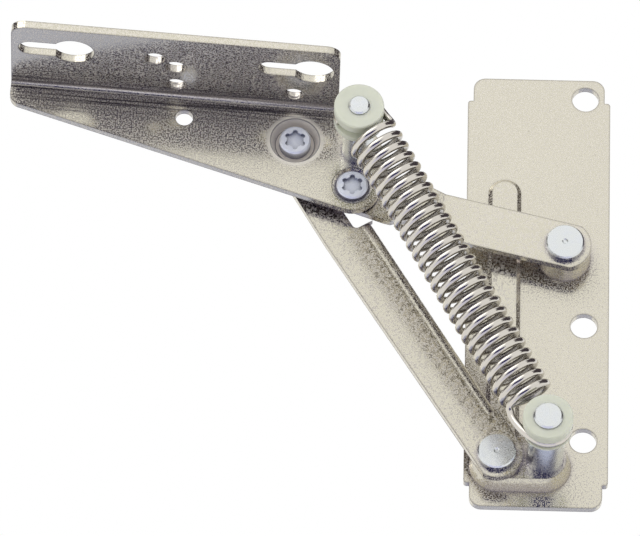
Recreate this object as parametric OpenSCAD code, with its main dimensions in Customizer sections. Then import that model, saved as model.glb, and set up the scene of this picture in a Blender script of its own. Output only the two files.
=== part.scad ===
// Flap stay: a swing-up lid fitting with two links and a tension spring, shown fully open.
// The origin is the middle of the base plate's back face, which lies on the cabinet side.
// X points right, Y points into the cabinet side and Z points up.
// Every part is sketched as seen from the front and raised towards the viewer.

/* [Base plate] */
// Width of the plate
plate_w = 35.6; // [34:0.2:40]
// Height of the plate, both end tabs included
plate_h = 120; // [118:0.5:124]
// Thickness of the plate
plate_t = 2; // [1.8:0.1:2.5]
// How far each end tab is narrower than the plate, on each side
tab_inset = 1.4; // [0.5:0.1:3]
// Height of each end tab
tab_h = 6.4; // [4:0.2:9]
// Corner radius of the end tabs
tab_r = 3; // [1:0.5:4]
// Distance of the screw holes from the plate's middle line
screw_x = 11.6; // [10:0.1:12.5]
// Height of the top screw hole above the plate's centre
screw_top = 54.6; // [53:0.1:55]
// Pitch of the hole row in the cabinet side
row_pitch = 32; // [32:1:32]
// Diameter of the screw holes
screw_d = 6.7; // [5:0.1:7]

/* [Pressed shapes in the plate] */
// Height of the two pressed seats above the plate's face
seat_h = 5; // [4:0.25:6]
// Radius of the round rear seat at its foot
rear_seat_r = 6.7; // [6.2:0.1:7.2]
// Radius of the long lower seat at its foot
lower_seat_r = 7; // [7:0.1:7.6]
// How much a seat's wall leans in over its height
seat_lean = 1.3; // [0.8:0.1:1.6]
// Height of the long lower seat's middle line, below the plate's centre
lower_seat_drop = 49; // [48.9:0.1:49.4]
// Outer width of the stiffening bead
bead_w = 8.2; // [6:0.2:9]
// Height of the bead above the plate's face
bead_h = 1; // [0.6:0.1:1.2]
// Distance of the bead left of the plate's middle line
bead_x = 8.35; // [7.8:0.05:9]
// Height of the bead's top end above the plate's centre
bead_top = 31.3; // [25:0.5:36]

/* [Pivots, open position] */
// Rear pivot, right of the plate's centre
rear_pivot_x = 6.5; // [6:0.1:7]
// Rear pivot, above the plate's centre
rear_pivot_z = 9.7; // [9:0.1:10.5]
// Front pivot, right of the plate's centre
front_pivot_x = -9.9; // [-10.4:0.1:-9.4]
// Front pivot, above the plate's centre
front_pivot_z = -49; // [-49.4:0.1:-48.6]
// Bracket's rear rivet, right of the plate's centre
rear_rivet_x = -46.6; // [-47.2:0.1:-46]
// Bracket's rear rivet, above the plate's centre
rear_rivet_z = 22.4; // [21.8:0.1:23]
// Bracket's front rivet, right of the plate's centre
front_rivet_x = -61; // [-61.5:0.1:-60.5]
// Bracket's front rivet, above the plate's centre
front_rivet_z = 34.8; // [34.3:0.1:35.3]
// Lower spring post, right of the plate's centre
lower_post_x = 2.1; // [1.7:0.1:2.6]
// Lower spring post, above the plate's centre
lower_post_z = -49.2; // [-49.6:0.1:-48.8]
// Upper spring post, along the flap bracket from its rear rivet
upper_post_x = 0.4; // [-0.4:0.1:1]
// Upper spring post, across the flap bracket from its rear rivet
upper_post_z = 10.1; // [9.7:0.1:10.6]
// How far the flap bracket's tip is tilted up
flap_tilt = 4; // [0:0.5:6]

/* [Links] */
// Thickness of both links
link_t = 2; // [1.8:0.1:2.2]
// Half width of the rear link
rear_link_half = 6.05; // [5.8:0.05:6.3]
// Radius of the rear link's round end
rear_link_end_r = 6.6; // [6.4:0.1:6.8]
// Half width of the rear link at the bracket end
rear_link_tip_half = 5; // [4.8:0.1:5.4]
// Start of the rear link's taper, from the rear pivot
taper_start = 45; // [44:0.5:47]
// Start of the rear link's step, from the rear pivot
step_start = 32; // [31:0.5:32.5]
// Length of the rear link's step
step_len = 4; // [3:0.5:4]
// Place of the recess that clears the front dish in the closed stay, along the rear link
recess_along = 39.5; // [39.3:0.1:39.7]
// Distance of that recess's centre below the rear link's middle line
recess_across = 11.6; // [11.5:0.1:11.7]
// Clearance between that recess and the back of the dish
recess_gap = 0.3; // [0.2:0.05:0.5]
// Clearance between the stepped end and the front link's face
step_gap = 0.1; // [0.1:0.05:0.3]
// Half width of the front link on its left side, at the front pivot
front_link_foot = 5.7; // [5.4:0.1:6.2]
// Half width of the front link on its left side, at the neck
front_link_left = 6.9; // [6.4:0.1:7.1]
// Half width of the front link on its bent right side
front_link_right = 6.6; // [6.2:0.1:6.8]
// Radius of the front link's ends
front_link_end_r = 6.5; // [6.2:0.1:6.5]
// Outer radius of the front link's long bend
rim_bend_r = 4; // [3:0.25:4]
// Depth of the front link's bent rim behind its face
rim_depth = 5.4; // [4.4:0.1:5.6]
// Start of the bent rim, from the front pivot
rim_start = 10.5; // [10:0.5:14]
// Start of the narrow neck, from the front pivot
neck_start = 71.2; // [70:0.2:72]
// Distance of the neck's right edge right of the link's middle line
neck_right = 1.5; // [1:0.1:2]
// Radius of the neck's inner corner
neck_r = 1.2; // [0.8:0.1:1.4]

/* [Flap bracket] */
// Thickness of the flap bracket
bracket_t = 2; // [1.8:0.1:2.4]
// Reach of the flange from the bracket's back face
flange_reach = 30.1; // [28:0.1:34]
// Left end of the flange, from the rear rivet
flange_left = 87.1; // [86.8:0.1:90]
// Right end of the flange, left of the rear rivet
flange_right = 5.3; // [4.2:0.1:5.4]
// Height of the flange's inner face over the rear rivet
flange_rise = 21.2; // [20.8:0.1:22.4]
// Outer radius of the bracket's bend
bend_r = 3; // [2.6:0.1:3.6]
// Radius of the flange's two front corners
flange_corner_r = 3.5; // [2:0.5:4]
// Height of the side plate at the tip, below the flange's inner face
tip_drop = 6.2; // [6:0.1:8]
// Radius of the side plate round the rear rivet
rear_eye_r = 6.9; // [6.6:0.1:7.2]
// Radius of the side plate round the upper spring post
post_pad_r = 6.2; // [5.8:0.1:6.6]
// Radius of the dish round the rear rivet, at the bracket's face
rear_dish_r = 5; // [4.8:0.1:5.2]
// Depth of the dish round the rear rivet
rear_dish_depth = 0.5; // [0.4:0.1:0.8]
// Radius of the dish round the front rivet, at the bracket's face
front_dish_r = 6.1; // [5.8:0.1:6.4]
// How much a dish narrows from its rim to its floor
dish_lean = 1; // [0.8:0.1:1.1]

/* [Holes in the flange] */
// Diameter of the keyholes' round ends
keyhole_d = 10.6; // [10:0.1:10.8]
// Width of the keyholes' slots
slot_w = 6.2; // [5:0.1:6.6]
// Distance from a keyhole's round centre to its slot's far end
slot_reach = 13.6; // [11:0.1:13.6]
// Distance of the hole line from the flange's front edge
keyhole_inset = 10.1; // [9:0.1:12]
// Right keyhole's round centre, left of the rear rivet
keyhole_x = 12; // [11.6:0.1:12.4]
// Spacing of the two keyholes
keyhole_spacing = 59.7; // [59:0.1:60]
// Diameter of the small flange holes
small_d = 5.2; // [4:0.1:5.4]
// Diameter of the hole in the bracket's side
side_hole_d = 4.4; // [3:0.1:5]

/* [Rivets] */
// Diameter of the two large pivot rivet heads
big_head_d = 9.5; // [9:0.1:10.2]
// Height of the large pivot rivet heads
big_head_h = 1.8; // [1.2:0.1:2]
// Diameter of the rivets' shanks
shank_d = 6; // [5:0.1:6.2]
// Diameter of the two bracket rivet heads
small_head_d = 7.8; // [7:0.1:7.8]
// Height of the rear bracket rivet's head above the floor of its dish
small_head_h = 1.2; // [1:0.1:1.6]
// Height of the front bracket rivet's taller head above the floor of its dish
front_head_h = 3; // [1.6:0.1:3.2]
// Depth of the sockets in the bracket rivet heads
socket_depth = 1; // [0.8:0.1:1.6]
// Diameter of the rivets' closed back heads
foot_d = 7.2; // [6.8:0.1:7.2]
// Height of the rivets' closed back heads
foot_h = 1.3; // [0.8:0.1:1.5]
// Running clearance round every turning shank
run_gap = 0.05; // [0.03:0.01:0.08]
// Clearance left at the pivot where the loop is open
open_gap = 0.3; // [0.2:0.1:0.5]

/* [Spring, posts and spools] */
// Outer diameter of the coil
coil_d = 13.6; // [12.6:0.1:13.8]
// Diameter of the spring wire
wire_d = 1.9; // [1.7:0.1:2.1]
// Number of turns
turns = 25; // [20:1:28]
// Height of the lower spool's groove above the plate's back
lower_spool_h = 25.8; // [24:0.2:27]
// Height of the upper spool's groove above the plate's back
upper_spool_h = 32.4; // [31:0.2:34]
// How far the coil's axis passes behind the lower spool's groove
axis_drop = 3.5; // [2.8:0.1:4]
// Gap between the lower post's axis and the first turn
coil_start = 9.9; // [9.4:0.1:10.6]
// Gap between the last turn and the upper post's axis
coil_stop = 7.6; // [7.2:0.1:9]
// Diameter of the lower post's stem
lower_stem_d = 9; // [8:0.1:9.4]
// Diameter of the upper post's stem
upper_stem_d = 7.8; // [7:0.1:8.2]
// Diameter of the lower post inside its spool
lower_journal_d = 7.2; // [6.6:0.1:7.4]
// Diameter of the upper post inside its spool
upper_journal_d = 5.2; // [5:0.1:6]
// Diameter of the spools' rims
spool_d = 12.4; // [12:0.1:13]
// Diameter of the spools' grooves
groove_d = 8.7; // [8.4:0.1:9.2]
// Width of the spools' grooves
groove_w = 2.4; // [2.2:0.1:2.8]
// Thickness of the spools' front rims
front_rim_t = 3; // [2.4:0.1:3.4]
// Thickness of the upper spool's back rim
upper_back_rim_t = 2.2; // [1.6:0.1:2.8]
// Thickness of the lower spool's back rim
lower_back_rim_t = 1.2; // [1:0.1:2]
// How far the post ends stand out of the spools
post_end = 0.8; // [0.4:0.1:1.6]

/* [Hidden] */
$fn = 64;
seat_z = plate_t + seat_h;
link_z = seat_z + link_t;
tip_z = link_z + step_gap;
front_dish_depth = step_gap + link_t + rear_dish_depth;
bracket_z = link_z + front_dish_depth;
face_z = bracket_z + bracket_t;
rear_pivot = [rear_pivot_x, rear_pivot_z];
front_pivot = [front_pivot_x, front_pivot_z];
rear_rivet = [rear_rivet_x, rear_rivet_z];
front_rivet = [front_rivet_x, front_rivet_z];
lower_post = [lower_post_x, lower_post_z];
upper_post = rear_rivet + turned([upper_post_x, upper_post_z], -flap_tilt);
rear_len = norm(rear_rivet - rear_pivot);
front_len = norm(front_rivet - front_pivot);
rear_dir = heading(rear_pivot, rear_rivet);
front_dir = heading(front_pivot, front_rivet);
spring_dir = heading(lower_post, upper_post);
spring_len = norm(upper_post - lower_post);
front_rivet_local = turned(front_rivet - rear_rivet, flap_tilt);
dish_back_rim = 0.3;
recess_r = front_dish_r + dish_back_rim + recess_gap;
coil_r = (coil_d - wire_d) / 2;
hook_r = (groove_d + wire_d) / 2 + run_gap;
lower_spool_z = lower_spool_h - groove_w / 2 - lower_back_rim_t;
upper_spool_z = upper_spool_h - groove_w / 2 - upper_back_rim_t;
spool_front = groove_w / 2 + front_rim_t;
axis_tilt = atan2(upper_spool_h - lower_spool_h + axis_drop, spring_len);
turn_steps = 18;
coil_lead = 60;
wire_sides = 8;

steel_sheet = [0.85, 0.82, 0.76];
zinc = [0.75, 0.78, 0.82];
spring_steel = [0.72, 0.72, 0.70];
nylon = [0.84, 0.86, 0.79];

function heading(a, b) = atan2(b[1] - a[1], b[0] - a[0]);
function turned(p, a) = [p[0] * cos(a) - p[1] * sin(a), p[0] * sin(a) + p[1] * cos(a)];
function unit(v) = v / norm(v);

// Points where straight sides touch a ring of corner circles, each given as [x, y, radius].
function tangent_outline(c) = [
    for (i = [0:len(c) - 1])
        let (a = c[i], b = c[(i + 1) % len(c)])
        let (d = norm([b[0] - a[0], b[1] - a[1]]))
        let (n = heading(a, b) - acos((a[2] - b[2]) / d))
        for (k = [a, b]) [k[0] + k[2] * cos(n), k[1] + k[2] * sin(n)]
];

module facing() {
    rotate([90, 0, 0]) children();
}

module rounded_shape(corners) {
    polygon(tangent_outline(corners));
    for (k = corners) translate([k[0], k[1]]) circle(r = k[2]);
}

module rounded_box(w, h, r) {
    x = w / 2 - r;
    y = h / 2 - r;
    rounded_shape([[-x, -y, r], [x, -y, r], [x, y, r], [-x, y, r]]);
}

// A long cone: the shape of a pressed seat or bead between two points on one line.
module pressed(from, to, r_low, r_high, z_low, z_high) {
    for (p = [from, to])
        translate([p[0], p[1], z_low]) cylinder(h = z_high - z_low, r1 = r_low, r2 = r_high);
    reach = norm(to - from);
    if (reach > 0)
        translate([from[0], from[1], 0]) rotate([0, 0, heading(from, to)]) rotate([90, 0, 90])
            linear_extrude(reach)
                polygon([[-r_low, z_low], [r_low, z_low], [r_high, z_high], [-r_high, z_high]]);
}

module seat_outside(from, to, r, h) {
    pressed(from, to, r, r - seat_lean * h / seat_h, plate_t - 0.01, plate_t + h);
}

module seat_inside(from, to, r, h) {
    wall = plate_t * 0.6;
    pressed(from, to, r - wall, r - wall - seat_lean * h / seat_h, -0.01, h);
}

module base_plate() {
    rear = rear_pivot;
    left = [front_pivot_x + 0.4, -lower_seat_drop];
    right = [lower_post_x - 0.4, -lower_seat_drop];
    bead_high = [-bead_x, bead_top - bead_w / 2];
    bead_low = [-bead_x, -lower_seat_drop];
    color(steel_sheet) facing() difference() {
        union() {
            linear_extrude(plate_t) {
                rounded_box(plate_w, plate_h - 2 * tab_h, 0.8);
                rounded_box(plate_w - 2 * tab_inset, plate_h, tab_r);
            }
            seat_outside(rear, rear, rear_seat_r, seat_h);
            seat_outside(left, right, lower_seat_r, seat_h);
            bead_body(bead_high, bead_low);
        }
        seat_inside(rear, rear, rear_seat_r, seat_h);
        seat_inside(left, right, lower_seat_r, seat_h);
        bead_hollow(bead_high, bead_low);
        for (z = [screw_top, screw_top - 2 * row_pitch, screw_top - 3 * row_pitch])
            translate([screw_x, z, -1]) cylinder(h = plate_t + 2, d = screw_d);
        for (p = [rear_pivot, front_pivot, lower_post])
            translate([p[0], p[1], 0]) cylinder(h = seat_z + 1, d = shank_d + 2 * run_gap);
    }
}

module bead_body(high, low) {
    pressed(high, low, bead_w / 2, bead_w / 2 - bead_h, plate_t - 0.01, plate_t + bead_h);
}

module bead_hollow(high, low) {
    r = bead_w / 2 - plate_t * 0.35;
    pressed(high, low, r, r - bead_h, -0.01, bead_h);
}

// The closed back head of a rivet, just behind a sheet whose back face is at z.
module rivet_foot(z) {
    translate([0, 0, z - foot_h]) rotate_extrude()
        polygon([[0, 0], [foot_d / 2 - 0.5, 0], [foot_d / 2, 0.5], [foot_d / 2, foot_h], [0, foot_h]]);
}

module big_rivet() {
    top = link_z + big_head_h;
    rivet_foot(seat_z - plate_t);
    translate([0, 0, seat_z - plate_t]) cylinder(h = link_z - seat_z + plate_t, d = shank_d);
    difference() {
        translate([0, 0, link_z]) rotate_extrude()
            polygon([[0, 0], [big_head_d / 2, 0], [big_head_d / 2, big_head_h - 0.35],
                [big_head_d / 2 - 0.35, big_head_h], [0, big_head_h]]);
        translate([0, 0, top - 0.3]) cylinder(h = 1, r1 = 0.4, r2 = 1.6);
    }
}

module rear_pivot_rivet() {
    color(zinc) facing() translate([rear_pivot[0], rear_pivot[1], 0]) big_rivet();
}

module front_pivot_rivet() {
    color(zinc) facing() translate([front_pivot[0], front_pivot[1], 0]) big_rivet();
}

// A stepped post: stem, then the thinner journal that carries a spool from spool_z to front_z.
module post(base_z, spool_z, front_z, stem_d, journal_d) {
    end_z = front_z + post_end;
    translate([0, 0, base_z]) cylinder(h = spool_z - base_z, d = stem_d);
    translate([0, 0, spool_z]) cylinder(h = end_z - spool_z - 0.4, d = journal_d);
    translate([0, 0, end_z - 0.4]) cylinder(h = 0.4, d1 = journal_d, d2 = journal_d - 0.8);
}

module lower_spring_post() {
    color(zinc) facing() translate([lower_post[0], lower_post[1], 0]) {
        rivet_foot(seat_z - plate_t);
        translate([0, 0, seat_z - plate_t]) cylinder(h = plate_t, d = shank_d);
        post(seat_z, lower_spool_z, lower_spool_h + spool_front, lower_stem_d, lower_journal_d);
    }
}

module upper_spring_post() {
    color(zinc) facing() translate([upper_post[0], upper_post[1], 0]) {
        translate([0, 0, bracket_z]) cylinder(h = bracket_t, d = shank_d - 1);
        post(face_z, upper_spool_z, upper_spool_h + spool_front, upper_stem_d, upper_journal_d);
    }
}

module spool(bore_d, back_rim_t) {
    edge = (spool_d - groove_d) * 0.05;
    front_z = back_rim_t + groove_w;
    end_z = front_z + front_rim_t;
    difference() {
        rotate_extrude() polygon([
            [0, 0], [spool_d / 2 - 0.3, 0], [spool_d / 2, 0.3], [spool_d / 2, back_rim_t - edge],
            [groove_d / 2, back_rim_t], [groove_d / 2, front_z], [spool_d / 2, front_z + edge],
            [spool_d / 2, end_z - 0.3], [spool_d / 2 - 0.3, end_z], [0, end_z]]);
        translate([0, 0, -1]) cylinder(h = end_z + 2, d = bore_d);
    }
}

module lower_spool() {
    color(nylon) facing() translate([lower_post[0], lower_post[1], lower_spool_z])
        spool(lower_journal_d + 2 * run_gap, lower_back_rim_t);
}

module upper_spool() {
    color(nylon) facing() translate([upper_post[0], upper_post[1], upper_spool_z])
        spool(upper_journal_d + 2 * run_gap, upper_back_rim_t);
}

// The rear link's side view: flat at the pivot, then a step up over the front link.
module rear_link_profile() {
    step_end = step_start + step_len;
    polygon([[-rear_len, seat_z], [step_start, seat_z], [step_end, tip_z], [2 * rear_len, tip_z],
        [2 * rear_len, tip_z + link_t], [step_end, tip_z + link_t], [step_start, link_z],
        [-rear_len, link_z]]);
}

module rear_link_outline() {
    half = rear_link_half;
    difference() {
        union() {
            intersection() {
                circle(r = rear_link_end_r);
                translate([-rear_len, -half]) square([rear_len, 2 * half]);
            }
            polygon([[-0.1, -half], [taper_start, -half], [rear_len, -rear_link_tip_half],
                [rear_len, rear_link_tip_half], [taper_start, half], [-0.1, half]]);
            translate([rear_len, 0]) circle(r = rear_link_tip_half);
        }
        translate([recess_along, recess_across]) circle(r = recess_r);
    }
}

module rear_link() {
    color(steel_sheet) facing() translate([rear_pivot[0], rear_pivot[1], 0]) rotate([0, 0, rear_dir])
        difference() {
            intersection() {
                linear_extrude(2 * tip_z) rear_link_outline();
                translate([0, 2 * rear_link_half, 0]) rotate([90, 0, 0])
                    linear_extrude(4 * rear_link_half) rear_link_profile();
            }
            for (x = [0, rear_len])
                translate([x, 0, 0]) cylinder(h = 30, d = shank_d + 2 * run_gap);
        }
}

module front_link_outline() {
    bend_inside = rim_bend_r - front_link_right;
    wide = 2 * front_link_end_r;
    difference() {
        union() {
            intersection() {
                circle(r = front_link_end_r);
                translate([-wide, -wide]) square([wide + 0.01, wide + front_link_foot]);
            }
            polygon([[0, -front_link_end_r], [rim_start, -front_link_right], [rim_start, 0], [0, 0]]);
            polygon([[0, bend_inside], [front_len, bend_inside], [front_len, front_link_end_r],
                [neck_start, front_link_left], [0, front_link_foot]]);
            translate([neck_start - 0.01, -front_link_right])
                square([neck_r + 2, front_link_right]);
        }
        neck_cut();
    }
    translate([front_len, 0]) circle(r = front_link_end_r);
}

// The recess that clears the bracket's rear rivet when the stay is open.
module neck_cut() {
    deep = 2 * front_link_right;
    translate([neck_start + neck_r, -neck_right - deep]) square([front_len - neck_start - neck_r, deep]);
    translate([neck_start, -neck_right - deep]) square([neck_r + 0.1, deep - neck_r]);
    translate([neck_start + neck_r, -neck_right - neck_r]) circle(r = neck_r);
}

// The long bend and rim along the front link's right edge, seen from its end.
module rim_profile() {
    centre = rim_bend_r - front_link_right;
    intersection() {
        translate([centre, link_z - rim_bend_r]) difference() {
            circle(r = rim_bend_r);
            circle(r = rim_bend_r - link_t);
        }
        translate([-front_link_right, link_z - rim_bend_r]) square([rim_bend_r + 0.01, rim_bend_r]);
    }
    translate([-front_link_right, link_z - rim_depth])
        square([link_t, rim_depth - rim_bend_r + 0.01]);
}

module front_link() {
    color(steel_sheet) facing() translate([front_pivot[0], front_pivot[1], 0]) rotate([0, 0, front_dir])
        difference() {
            union() {
                translate([0, 0, seat_z]) linear_extrude(link_t) front_link_outline();
                translate([rim_start, 0, 0]) rotate([90, 0, 90])
                    linear_extrude(neck_start - rim_start) rim_profile();
            }
            for (x = [0, front_len])
                translate([x, 0, 0]) cylinder(h = 30, d = shank_d + 2 * run_gap);
        }
}

// The front link's own half of the front rivet. The loop is left open above it.
module front_link_rivet() {
    color(zinc) facing() translate([front_rivet[0], front_rivet[1], 0]) {
        rivet_foot(seat_z);
        translate([0, 0, seat_z]) cylinder(h = link_t, d = shank_d);
    }
}

module bracket_side() {
    tip_r = 3;
    top = flange_rise + bracket_t - bend_r + 0.01;
    room = 2 * flange_left;
    tip = [-flange_left + tip_r, flange_rise - tip_drop + tip_r];
    corners = [[tip[0], tip[1], tip_r], [0, 0, rear_eye_r],
        [upper_post_x, upper_post_z, post_pad_r], [-flange_right - 2, flange_rise, 2],
        [-flange_left + 2, flange_rise, 2]];
    intersection() {
        rounded_shape(corners);
        translate([-room, top - room]) square([2 * room, room]);
    }
}

module bracket_bend() {
    translate([-flange_left, 0, 0]) rotate([90, 0, 90]) linear_extrude(flange_left - flange_right)
        translate([flange_rise + bracket_t - bend_r, bracket_z + bend_r]) intersection() {
            difference() {
                circle(r = bend_r);
                circle(r = bend_r - bracket_t);
            }
            translate([0, -bend_r]) square(bend_r);
        }
}

module bracket_flange() {
    low = bracket_z + bend_r - 0.01;
    high = bracket_z + flange_reach;
    right = -flange_right - flange_corner_r;
    left = -flange_left + flange_corner_r;
    translate([0, flange_rise + bracket_t, 0]) rotate([90, 0, 0]) linear_extrude(bracket_t)
        difference() {
            union() {
                translate([-flange_left, low])
                    square([flange_left - flange_right, high - low - flange_corner_r]);
                translate([left, low]) square([right - left, high - low]);
                for (x = [left, right]) translate([x, high - flange_corner_r]) circle(r = flange_corner_r);
            }
            flange_holes(high);
        }
}

module flange_holes(front) {
    line = front - keyhole_inset;
    for (x = [-keyhole_x, -keyhole_x - keyhole_spacing]) {
        translate([x, line]) circle(d = keyhole_d);
        translate([x - slot_reach + slot_w / 2, line - slot_w / 2]) square([slot_reach - slot_w / 2, slot_w]);
        translate([x - slot_reach + slot_w / 2, line]) circle(d = slot_w);
    }
    for (p = [[-51.3, line], [-46.1, line - 3.5], [-45.9, line - 12.3], [-16.5, line - 12.2]])
        translate(p) circle(d = small_d);
}

// A round dish pressed back from the bracket's face towards a link.
module dish_back(r, depth) {
    translate([0, 0, bracket_z - depth])
        cylinder(h = depth + 0.01, r1 = r - dish_lean + 0.5, r2 = r + dish_back_rim);
}

module dish_front(r, depth) {
    translate([0, 0, face_z - depth]) cylinder(h = depth + 0.01, r1 = r - dish_lean, r2 = r);
}

module flap_bracket() {
    color(steel_sheet) facing() translate([rear_rivet[0], rear_rivet[1], 0]) rotate([0, 0, -flap_tilt])
        difference() {
            union() {
                translate([0, 0, bracket_z]) linear_extrude(bracket_t) bracket_side();
                bracket_bend();
                bracket_flange();
                dish_back(rear_dish_r, rear_dish_depth);
                translate([front_rivet_local[0], front_rivet_local[1], 0])
                    dish_back(front_dish_r, front_dish_depth);
            }
            dish_front(rear_dish_r, rear_dish_depth);
            cylinder(h = 40, d = shank_d + 2 * run_gap);
            translate([front_rivet_local[0], front_rivet_local[1], 0]) {
                dish_front(front_dish_r, front_dish_depth);
                cylinder(h = 40, d = shank_d + 2 * run_gap);
            }
            translate([upper_post_x, upper_post_z, 0]) cylinder(h = 40, d = shank_d - 1 + 2 * run_gap);
            translate([-43.25, 15.1, 0]) cylinder(h = 40, d = side_hole_d);
        }
}

// A tubular rivet head with a six-lobed socket, standing on the floor of its dish.
module socket_rivet(floor_z, shank_z, head_h) {
    difference() {
        union() {
            translate([0, 0, shank_z]) cylinder(h = floor_z - shank_z, d = shank_d);
            translate([0, 0, floor_z]) rotate_extrude() polygon([
                [0, 0], [small_head_d / 2, 0], [small_head_d / 2, head_h - 0.4],
                [small_head_d / 2 - 0.4, head_h], [0, head_h]]);
        }
        translate([0, 0, floor_z + head_h - socket_depth]) {
            cylinder(h = 4, r = 2.1);
            for (a = [30:60:330]) rotate([0, 0, a]) translate([2.1, 0, 0]) cylinder(h = 4, r = 0.65);
        }
    }
}

// This rivet ends flush with the rear link's back, so the front link can pass behind it.
module rear_bracket_rivet() {
    color(zinc) facing() translate([rear_rivet[0], rear_rivet[1], 0])
        socket_rivet(face_z - rear_dish_depth, tip_z, small_head_h);
}

module front_bracket_rivet() {
    color(zinc) facing() translate([front_rivet[0], front_rivet[1], 0])
        socket_rivet(face_z - front_dish_depth, link_z + open_gap, front_head_h);
}

// A round wire along a path. Each ring keeps the direction of the one before it.
module wire(path) {
    n = len(path);
    along = [for (i = [0:n - 1]) unit(path[min(i + 1, n - 1)] - path[max(i - 1, 0)])];
    first = unit(cross(along[0], [0.31, 0.47, 0.83]));
    side = [for (i = 0, v = first; i < n; i = i + 1,
        v = i < n ? unit(v - (v * along[i]) * along[i]) : v) v];
    points = [for (i = [0:n - 1]) let (b = cross(along[i], side[i]))
        for (k = [0:wire_sides - 1]) let (a = 360 * k / wire_sides)
            path[i] + wire_d / 2 * (cos(a) * side[i] + sin(a) * b)];
    walls = [for (i = [0:n - 2]) for (k = [0:wire_sides - 1])
        let (a = i * wire_sides + k, b = i * wire_sides + (k + 1) % wire_sides)
            for (f = [[a, a + wire_sides, b + wire_sides], [a, b + wire_sides, b]]) f];
    last = (n - 1) * wire_sides;
    polyhedron(points, concat(walls, [[for (k = [0:wire_sides - 1]) k]],
        [[for (k = [wire_sides - 1:-1:0]) last + k]]), convexity = 10);
}

function bezier(a, b, c, d, steps) = [for (i = [1:steps - 1]) let (t = i / steps, u = 1 - t)
    u * u * u * a + 3 * u * u * t * b + 3 * u * t * t * c + t * t * t * d];

// The coil runs along X from the lower post, tilted up to the upper spool. It starts at the left.
function on_axis(p) = [p[0] * cos(axis_tilt) - p[2] * sin(axis_tilt), p[1],
    lower_spool_h - axis_drop + p[0] * sin(axis_tilt) + p[2] * cos(axis_tilt)];
coil_end = spring_len / cos(axis_tilt) - coil_stop;
function on_coil(a) = on_axis([coil_start + (coil_end - coil_start) * a / (360 * turns),
    -coil_r * sin(a), coil_r * cos(a)]);
function coil_way(a) = unit(on_coil(a + 1) - on_coil(a - 1));
last_angle = 360 * turns + coil_lead;
coil_path = [for (a = [-coil_lead:360 / turn_steps:last_angle + 1]) on_coil(a)];

module on_spring_axis() {
    facing() translate([lower_post[0], lower_post[1], 0]) rotate([0, 0, spring_dir]) children();
}

// The coil with its lower hook, which passes round the lower spool.
module tension_spring() {
    hook = [for (a = [285:-15:120]) [hook_r * cos(a), hook_r * sin(a), lower_spool_h]];
    start = hook[len(hook) - 1];
    end = coil_path[0];
    lead = bezier(start, start + 5 * [sin(120), -cos(120), 0], end - 3.5 * coil_way(-coil_lead), end, 9);
    color(spring_steel) on_spring_axis() wire(concat(hook, lead, coil_path));
}

// The upper hook starts just past the coil's last turn, so the coil can stretch away from it.
module upper_hook() {
    start = on_coil(last_angle + 3.5);
    foot = [spring_len - 0.6, -hook_r, upper_spool_h];
    lead = bezier(start, start + 2.5 * coil_way(last_angle + 3.5), foot - [4, 0, 0], foot, 9);
    hook = [for (a = [-90:15:90]) [spring_len + hook_r * cos(a), hook_r * sin(a), upper_spool_h]];
    color(spring_steel) on_spring_axis() wire(concat([start], lead, hook));
}

base_plate();
rear_pivot_rivet();
front_pivot_rivet();
lower_spring_post();
lower_spool();
rear_link();
front_link();
front_link_rivet();
flap_bracket();
rear_bracket_rivet();
front_bracket_rivet();
upper_spring_post();
upper_spool();
tension_spring();
upper_hook();
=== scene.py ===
# %% [markdown]
# # A flap stay in Blender
# A flap stay holds a swing-up cabinet flap open. Its solid parts come ready from the CAD model.
# This lesson dresses them: camera, light, plated and drawn metals, nylon, and a smooth wire spring.

# %% Load the solid parts
import math

import bpy
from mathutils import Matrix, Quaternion, Vector


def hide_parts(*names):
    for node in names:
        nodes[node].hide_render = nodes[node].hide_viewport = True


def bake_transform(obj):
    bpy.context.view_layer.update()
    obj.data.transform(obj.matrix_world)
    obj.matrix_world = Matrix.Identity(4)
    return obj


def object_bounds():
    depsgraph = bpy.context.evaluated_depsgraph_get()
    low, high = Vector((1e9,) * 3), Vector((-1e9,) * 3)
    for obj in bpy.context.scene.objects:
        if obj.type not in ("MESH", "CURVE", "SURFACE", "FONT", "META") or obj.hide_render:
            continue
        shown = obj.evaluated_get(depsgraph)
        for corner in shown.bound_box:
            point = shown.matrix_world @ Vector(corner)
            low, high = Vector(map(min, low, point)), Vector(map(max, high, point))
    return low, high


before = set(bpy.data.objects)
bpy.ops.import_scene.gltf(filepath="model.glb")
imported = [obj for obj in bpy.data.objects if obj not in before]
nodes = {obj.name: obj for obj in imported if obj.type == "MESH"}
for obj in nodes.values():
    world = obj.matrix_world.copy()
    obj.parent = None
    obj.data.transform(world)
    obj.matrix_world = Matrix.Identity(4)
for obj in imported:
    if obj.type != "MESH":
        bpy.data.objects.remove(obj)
cad_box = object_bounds()
MM = 0.001
print("CAD nodes:", len(nodes))

# %% [markdown]
# ## The camera
# The photograph looks at the fitting from well below and from far away, so its lines stay almost
# parallel. An orthographic camera would look nearly the same, but a long lens at three metres is
# what a product photographer uses, and it needs no shift. The camera is aimed with an azimuth, an
# elevation and a small roll, at the point that lies in the middle of the picture. The lens follows
# from the scale of the photograph, in pixels per millimetre.

# %% Camera
AZIMUTH = math.radians(-0.565)
ELEVATION = math.radians(-27.97)
ROLL = math.radians(-1.08)
AIM = Vector((-54.22, -15.0, -1.73)) * MM
DISTANCE = 3.0
PHOTO_WIDTH = 640
PX_PER_MM = 4.045
SENSOR = 36.0

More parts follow.
